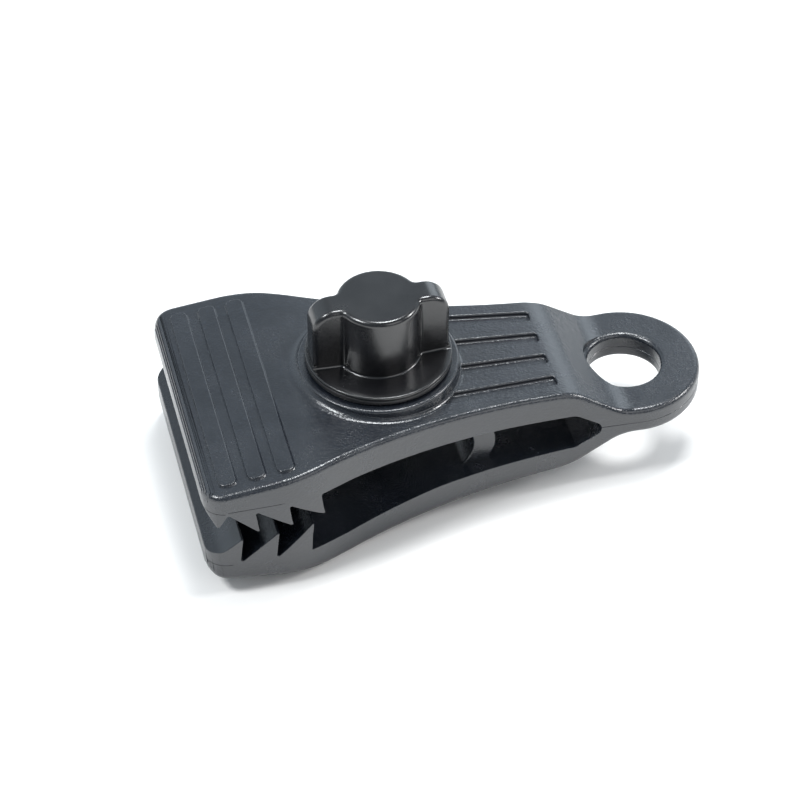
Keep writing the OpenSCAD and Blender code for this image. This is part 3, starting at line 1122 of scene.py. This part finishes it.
    def whole(self) -> bmesh.types.BMesh:
        """Builds the whole moulding apart from its web.

        Returns:
            The closed solid.
        """
        upper_boss = Boss(inner_r=self.upper_hole_r)
        upper = upper_boss.solid(self.outer_curve(Side.UPPER).at)
        lower_curve = self.outer_curve(Side.LOWER)
        lower = Boss(inner_r=self.screw_hole_r).solid(lambda x: -lower_curve.at(x))
        flip = Matrix.Scale(-1, 4, (0, 0, 1))
        move(lower, flip)
        bmesh.ops.reverse_faces(lower, faces=lower.faces[:])
        solid = combine(self.blank(), [upper, lower, *self.pad_marks()], Operation.JOIN)
        face_z = upper_boss.face_z
        wide_r, small_r = self.upper_hole_r, self.screw_hole_r
        turns = [math.tau * i / 64 for i in range(64)]
        circle = [(wide_r * math.cos(turn), wide_r * math.sin(turn)) for turn in turns]
        small = [(x * small_r / wide_r, y * small_r / wide_r) for x, y in circle]
        holes = self.tail_marks() + self.witness_lines() + [
            self.eye_cutter(),
            prism(circle, 0.5, face_z + 1),
            prism(small, -face_z - 1, -0.5),
            prism(hexagon(self.nut_af), -face_z - 1, -face_z + self.nut_depth),
        ]
        return combine(solid, holes, Operation.CUT)

    def half(self, whole: bmesh.types.BMesh, side: Side) -> bmesh.types.BMesh:
        """One half of the moulding, closed on the parting plane.

        Args:
            whole: The whole moulding, which stays as it is.
            side: The half to keep.

        Returns:
            The half. Its edge on the parting plane is broken, so that the mould's line shows.
        """
        bm = whole.copy()
        everything = bm.verts[:] + bm.edges[:] + bm.faces[:]
        keep_upper = side is Side.UPPER
        cut = bmesh.ops.bisect_plane(
            bm, geom=everything, dist=SAME_MM, plane_co=(0, 0, 0), plane_no=(0, 0, 1),
            clear_inner=keep_upper, clear_outer=not keep_upper,
        )
        seam = [
            item for item in cut["geom_cut"]
            if isinstance(item, bmesh.types.BMEdge) and item.is_boundary
        ]
        filled = bmesh.ops.triangle_fill(
            bm, edges=seam, use_beauty=True, normal=(0, 0, -side.value),
        )
        caps = {item for item in filled["geom"] if isinstance(item, bmesh.types.BMFace)}
        inside = [
            edge for edge in bm.edges
            if edge.link_faces and all(near in caps for near in edge.link_faces)
        ]
        bmesh.ops.dissolve_limit(
            bm, angle_limit=math.radians(1), verts=[], delimit=set(), edges=inside,
        )
        bmesh.ops.recalc_face_normals(bm, faces=bm.faces[:])
        rim = [
            edge for edge in bm.edges
            if all(abs(vert.co.z) < 1e-5 for vert in edge.verts)
            and any(abs(face.normal.z) < 0.9 for face in edge.link_faces)
        ]
        round_edges(bm, rim, self.parting_r, 1)
        return bm

    def build(self) -> None:
        """Builds both halves, dresses them and hangs the lower half on its body; the upper half stays
        in place.
        """
        whole = self.whole()
        upper = self.workshop.finish(self.half(whole, Side.UPPER), "moulding_upper", self.look)
        lower_bm = combine(self.half(whole, Side.LOWER), [self.web()], Operation.JOIN)
        lower = self.workshop.finish(lower_bm, "moulding_lower", self.look)
        whole.free()
        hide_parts("clip_frame")
        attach(lower, Body.FRAME.value)
        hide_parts("upper_jaw")
        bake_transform(upper)
        self.workshop.report(upper, "jaw and frame")
        self.workshop.report(lower, Body.FRAME.value)


@dataclass
class Knob:
    """The two-winged thumb knob with its flange."""

    workshop: Workshop
    look: MouldedPlastic
    flange_r: float = 11.2
    flange_z: float = 12.73
    rim_z: float = 13.28
    rim_w: float = 0.9
    dip: float = 0.25
    core_r: float = 6.4
    top_z: float = 23.78
    edge_r: float = 0.8
    wing_t: float = 4.6
    wing_reach: float = 10.6
    wing_end_r: float = 3.4
    neck_r: float = 0.9
    foot_r: float = 0.55
    rim_keep: float = 0.2

    def flange_top(self, radius: float) -> float:
        """Height of the dished flange's upper face.

        Args:
            radius: Distance from the screw axis.

        Returns:
            The height there.
        """
        flat_r = self.flange_r - self.rim_w
        share = min(1.0, max(0.0, (flat_r - radius) / (flat_r - self.core_r)))
        return self.rim_z - self.dip * share

    def flange(self) -> bmesh.types.BMesh:
        """Builds the dished flange.

        Returns:
            The closed solid.
        """
        corners = [
            (0.0, self.flange_z, 0.0),
            (self.flange_r, self.flange_z, 0.12),
            (self.flange_r, self.rim_z, 0.2),
            (self.flange_r - self.rim_w, self.rim_z, 0.5),
            (self.core_r, self.rim_z - self.dip, 0.35),
            (0.0, self.rim_z - self.dip, 0.0),
        ]
        return lathe(round_outline(corners, steps=5, closed=False), 128)

    def plan(self, grow: float = 0.0, steps: int = 14) -> list[Point]:
        """Quarter of the plan of core and wing, from the wing's end to the core's side.

        Args:
            grow: How far the plan is grown outwards.
            steps: Number of chords along the core.

        Returns:
            Points (station, half width).
        """
        half = self.wing_t / 2
        neck_y = half + self.neck_r
        neck_x = math.sqrt((self.core_r + self.neck_r) ** 2 - neck_y**2)
        meet = math.atan2(neck_y, neck_x)
        points: list[Point] = [(self.wing_reach + grow, half + grow)]
        for step in range(7):
            turn = -math.pi / 2 - (math.pi / 2 - meet) * step / 6
            radius = self.neck_r - grow
            points.append((neck_x + radius * math.cos(turn), neck_y + radius * math.sin(turn)))
        for step in range(1, steps + 1):
            turn = meet + (math.pi / 2 - meet) * step / steps
            radius = self.core_r + grow
            points.append((radius * math.cos(turn), radius * math.sin(turn)))
        return points

    def side_view(self) -> list[Point]:
        """Side view of core and wings.

        Returns:
            The outline, with the wings' upper corners rounded off.
        """
        half = [
            (self.wing_reach, self.rim_z - 2 * self.dip, 0.0),
            (self.wing_reach, self.top_z, self.wing_end_r),
        ]
        return round_outline(half + [(-x, z, r) for x, z, r in reversed(half)], steps=14)

    def grip(self) -> bmesh.types.BMesh:
        """Builds core and wings in one.

        Returns:
            The closed solid, with rounded edges.
        """
        quarter = self.plan()
        far_half = [(x, y) for x, y in quarter if x > 1e-6]
        width = Curve(tuple(sorted([(-x, y) for x, y in quarter] + far_half)))
        bm = prism(self.side_view(), -1.0, 1.0, across=True)
        slice_at(bm, [x for x, _ in width.points[1:-1]])
        for vert in bm.verts:
            vert.co.y *= width.at(vert.co.x)
        bmesh.ops.recalc_face_normals(bm, faces=bm.faces[:])
        floor = min(vert.co.z for vert in bm.verts)
        rims = [
            edge for edge in bm.edges
            if edge.verts[0].co.y * edge.verts[1].co.y > 0
            and max(vert.co.z for vert in edge.verts) > floor + 1e-3
            and len({runs_across(face) for face in edge.link_faces}) == 2
        ]
        round_edges(bm, rims, self.edge_r, 6)
        return bm

    def ring(self, bm: bmesh.types.BMesh, grow: float, lift: float) -> list[bmesh.types.BMEdge]:
        """One closed ring round core and wings, at a height above the flange.

        Args:
            bm: The solid that gets the ring.
            grow: How far the ring lies outside core and wings.
            lift: Its height above the flange's upper face.

        Returns:
            The ring's edges.
        """
        quarter = self.plan(grow)
        half = quarter + [(-x, y) for x, y in reversed(quarter[:-1])]
        loop = half + [(-x, -y) for x, y in half]
        reach = self.flange_r - self.rim_keep
        shares = [min(1.0, reach / math.hypot(x, y)) for x, y in loop]
        loop = [(x * share, y * share) for (x, y), share in zip(loop, shares)]
        verts = [bm.verts.new((x, y, self.flange_top(math.hypot(x, y)) + lift)) for x, y in loop]
        return [bm.edges.new(pair) for pair in zip(verts, verts[1:] + verts[:1])]

    def foot(self) -> bmesh.types.BMesh:
        """Builds the fillet where core and wings stand on the flange.

        Returns:
            The closed solid.
        """
        steps = 5
        sink = 0.03
        bm = bmesh.new()
        rings = [self.ring(bm, -2 * sink, -self.dip)]
        rings.append(self.ring(bm, self.foot_r, -self.dip))
        for step in range(steps + 1):
            turn = math.pi / 2 * step / steps
            grow = self.foot_r * (1 - math.sin(turn)) - sink
            rings.append(self.ring(bm, grow, self.foot_r * (1 - math.cos(turn)) - sink))
        rings.append(self.ring(bm, -2 * sink, self.foot_r))
        for first, second in zip(rings, rings[1:] + rings[:1]):
            bmesh.ops.bridge_loops(bm, edges=first + second)
        bmesh.ops.recalc_face_normals(bm, faces=bm.faces[:])
        return bm

    def build(self) -> None:
        """Builds the knob and hangs it on its body."""
        solid = combine(self.flange(), [self.grip(), self.foot()], Operation.JOIN)
        piece = self.workshop.finish(solid, "winged_knob", self.look)
        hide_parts("thumb_knob")
        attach(piece, Body.KNOB.value)
        self.workshop.report(piece, Body.KNOB.value)


@dataclass
class Washer:
    """The ring that the knob's flange turns on."""

    workshop: Workshop
    look: MouldedPlastic
    radius: float = 11.2
    bore_r: float = 3.05
    low_z: float = 11.88
    high_z: float = 12.68
    edge_r: float = 0.2
    bore_edge_r: float = 0.1

    def build(self) -> None:
        """Builds the washer and hangs it on its body."""
        corners = [
            (self.bore_r, self.low_z, self.bore_edge_r),
            (self.radius, self.low_z, self.edge_r),
            (self.radius, self.high_z, self.edge_r),
            (self.bore_r, self.high_z, self.bore_edge_r),
        ]
        solid = lathe(round_outline(corners, steps=4), 128)
        piece = self.workshop.finish(solid, "washer_ring", self.look)
        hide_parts("thrust_washer")
        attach(piece, Body.WASHER.value)
        self.workshop.report(piece, Body.WASHER.value)


@dataclass
class Screw:
    """The knob's steel stud with its thread, and the nut that it runs in."""

    workshop: Workshop
    look: PlatedSteel
    thread_r: float = 2.95
    root_r: float = 2.4
    pitch: float = 1.0
    low_z: float = -11.0
    high_z: float = 15.3
    nut_af: float = 10.0
    nut_low_z: float = -11.2
    nut_h: float = 5.0
    nut_bore_r: float = 3.0
    nut_edge_r: float = 0.18
    turn_steps: int = 28

    def thread(self) -> bmesh.types.BMesh:
        """Builds the thread's ridge, wound once for each pitch over the stud's length.

        Returns:
            The closed ridge.
        """
        bm = bmesh.new()
        inner = self.root_r - 0.2
        half = self.pitch * 0.42
        crest = self.pitch * 0.06
        start = self.low_z + 0.6
        ridge = [
            (inner, start - half), (self.thread_r, start - crest),
            (self.thread_r, start + crest), (inner, start + half),
        ]
        face = face_from(bm, [(radius, 0, z) for radius, z in ridge])
        turns = int(self.high_z - start - self.pitch)
        bmesh.ops.spin(
            bm, geom=[face], cent=(0, 0, 0), axis=(0, 0, 1),
            dvec=(0, 0, self.pitch / self.turn_steps), angle=math.tau * turns,
            steps=turns * self.turn_steps,
        )
        bmesh.ops.recalc_face_normals(bm, faces=bm.faces[:])
        return bm

    def stud(self) -> bmesh.types.BMesh:
        """Builds the stud.

        Returns:
            Its core with a chamfered lower end, and its thread as a second shell.
        """
        chamfer = 0.7
        profile = [
            (0.0, self.low_z), (self.root_r - chamfer, self.low_z),
            (self.root_r, self.low_z + chamfer),
            (self.root_r, self.high_z), (0.0, self.high_z),
        ]
        bm = lathe(profile, 48)
        ridge = self.thread()
        mesh = bpy.data.meshes.new("ridge")
        ridge.to_mesh(mesh)
        ridge.free()
        bm.from_mesh(mesh)
        bpy.data.meshes.remove(mesh)
        return bm

    def nut(self) -> bmesh.types.BMesh:
        """Builds the nut.

        Returns:
            The closed solid, with broken corners and a countersunk bore.
        """
        high_z = self.nut_low_z + self.nut_h
        bm = prism(hexagon(self.nut_af), self.nut_low_z, high_z)
        round_edges(bm, bm.edges[:], self.nut_edge_r, 2)
        sink = 0.5
        bore = [
            (0.0, self.nut_low_z - sink), (self.nut_bore_r + 2 * sink, self.nut_low_z - sink),
            (self.nut_bore_r, self.nut_low_z + sink), (self.nut_bore_r, high_z - sink),
            (self.nut_bore_r + 2 * sink, high_z + sink), (0.0, high_z + sink),
        ]
        return combine(bm, [lathe(bore, 64)], Operation.CUT)

    def build(self) -> None:
        """Builds the stud and the nut and hangs them on their bodies."""
        stud = self.workshop.finish(self.stud(), "stud", self.look)
        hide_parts("threaded_stud")
        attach(stud, Body.KNOB.value)
        self.workshop.report(stud, Body.KNOB.value)
        nut = self.workshop.finish(self.nut(), "nut", self.look)
        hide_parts("captive_nut")
        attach(nut, Body.FRAME.value)
        self.workshop.report(nut, Body.FRAME.value)


# Stage


@dataclass
class Studio:
    """Floor, lights and camera."""

    floor_z: float
    image_px: float = 800.0
    focal_px: float = 3034.7
    sensor_mm: float = 36.0
    azimuth: float = -14.325
    elevation: float = 43.131
    roll: float = 0.421
    distance_mm: float = 460.86
    aim_mm: tuple[float, float, float] = (-39.6, 0.0, 13.225)
    aside_mm: float = -3.288
    above_mm: float = 7.785
    room_level: float = 0.28
    backdrop: float = 0.6

    def camera(self) -> None:
        """Places the camera at the photograph's viewing angle."""
        data = bpy.data.cameras.new("camera")
        data.sensor_width = self.sensor_mm
        data.lens = self.focal_px / self.image_px * self.sensor_mm
        data.clip_start = 0.01
        data.clip_end = 20.0
        camera = bpy.data.objects.new("camera", data)
        bpy.context.scene.collection.objects.link(camera)
        turn, lift = math.radians(self.azimuth), math.radians(self.elevation)
        level = math.cos(lift)
        back = Vector((math.sin(turn) * level, -math.cos(turn) * level, math.sin(lift)))
        roll = Matrix.Rotation(math.radians(self.roll), 3, "Z")
        look = (-back).to_track_quat("-Z", "Y").to_matrix() @ roll
        aim = Vector(self.aim_mm) - look.col[0] * self.aside_mm - look.col[1] * self.above_mm
        place = (aim + back * self.distance_mm) * MM
        camera.matrix_world = Matrix.Translation(place) @ look.to_4x4()
        bpy.context.scene.camera = camera

    def floor(self) -> None:
        """Lays a plain pale floor that keeps the clip's shadow."""
        bm = bmesh.new()
        bmesh.ops.create_grid(bm, x_segments=1, y_segments=1, size=3.0)
        move(bm, Matrix.Translation((0, 0, self.floor_z)))
        floor = as_object(bm, "floor")
        material = bpy.data.materials.new("pale_floor")
        material.use_nodes = True
        shader = material.node_tree.nodes["Principled BSDF"]
        shader.inputs["Base Color"].default_value = (1.0, 0.98, 0.96, 1.0)
        shader.inputs["Roughness"].default_value = 0.9
        shader.inputs["Specular IOR Level"].default_value = 0.1
        floor.data.materials.append(material)
        floor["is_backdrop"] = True

    def softbox(
        self, name: str, place: Sequence[float], size: float, power: float, tint: Sequence[float],
    ) -> None:
        """Hangs one square softbox that faces the clip.

        Args:
            name: The lamp's name.
            place: Where it hangs, in metres.
            size: Length of its sides, in metres.
            power: Its power in watts.
            tint: Colour of its light.
        """
        data = bpy.data.lights.new(name, "AREA")
        data.shape = "SQUARE"
        data.size = size
        data.energy = power
        data.color = tint
        lamp = bpy.data.objects.new(name, data)
        lamp.location = place
        centre = Vector(self.aim_mm) * MM
        lamp.rotation_mode = "QUATERNION"
        lamp.rotation_quaternion = (centre - lamp.location).to_track_quat("-Z", "Y")
        bpy.context.scene.collection.objects.link(lamp)

    def lights(self) -> None:
        """Lights the clip with five softboxes and an even, pale room."""
        self.softbox("back_box", (0.52, 0.72, 0.43), 0.42, 0.9, (0.85, 0.93, 1.0))
        self.softbox("top_box", (0.13, 0.22, 0.97), 0.28, 6.5, (0.95, 0.98, 1.0))
        self.softbox("left_box", (-0.6, -0.05, 0.85), 0.24, 6.0, (0.95, 0.98, 1.0))
        self.softbox("right_box", (0.9, -0.15, 0.6), 0.25, 5.0, (1.0, 1.0, 1.0))
        self.softbox("front_box", (0.45, -0.9, 0.7), 0.7, 2.2, (1.0, 0.98, 0.97))
        self.room()

    def room(self) -> None:
        """Lights the scene evenly, with a paler backdrop low behind the clip."""
        world = bpy.data.worlds.new("room")
        bpy.context.scene.world = world
        world.use_nodes = True
        table = NodeTable(world.node_tree)
        background = world.node_tree.nodes["Background"]
        background.inputs["Color"].default_value = (0.8, 0.91, 1.0, 1.0)
        way = table.add("ShaderNodeSeparateXYZ")
        table.link(table.add("ShaderNodeTexCoord").outputs["Generated"], way.inputs[0])
        behind = table.spread(way.outputs["Y"], -0.2, 0.5, 0.0, self.backdrop)
        low = table.spread(way.outputs["Z"], 0.55, 0.78, 1.0, 0.2)
        level = table.math("ADD", table.math("MULTIPLY", behind, low), self.room_level)
        table.link(level, background.inputs["Strength"])

    def build(self) -> None:
        """Builds the stage."""
        self.camera()
        self.floor()
        self.lights()
        bpy.context.scene.view_settings.view_transform = "Standard"


def corners_of(bounds: tuple[Vector, Vector]) -> list[list[float]]:
    """Lowest and highest corner as plain lists of numbers."""
    return [[float(value) for value in corner] for corner in bounds]


def main() -> None:
    """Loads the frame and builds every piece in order."""
    logging.basicConfig(level=logging.INFO, format="%(name)s %(message)s")
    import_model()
    cad_box = corners_of(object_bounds())
    low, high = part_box("thrust_washer")
    screw_x = (low.x + high.x) / 2 / MM
    workshop = Workshop(screw_x=screw_x)

    # The nylon's colour nearly doubles on the grain's crests, as painted glints; the knob and the ring
    # get a smaller share.
    nylon = MouldedPlastic(
        "nylon", "moulding", (0.01, 0.0125, 0.0175),
        roughness=0.25, grain_depth_mm=0.08, painted_glint=0.9, specular=0.9,
    )
    knob_nylon = MouldedPlastic(
        "knob_nylon", "knob", (0.005, 0.005, 0.006),
        roughness=0.24, grain_depth_mm=0.01, specular=0.9,
    )
    ring_nylon = MouldedPlastic(
        "ring_nylon", "washer", (0.012, 0.012, 0.013), roughness=0.35, grain_depth_mm=0.01,
    )
    steel = PlatedSteel("plated_steel", "fastener_steel")

    Studio(floor_z=cad_box[0][2]).build()
    Moulding(workshop, nylon, eye_x=-screw_x).build()
    Knob(workshop, knob_nylon).build()
    Washer(workshop, ring_nylon).build()
    Screw(workshop, steel).build()


if __name__ == "__main__":
    main()
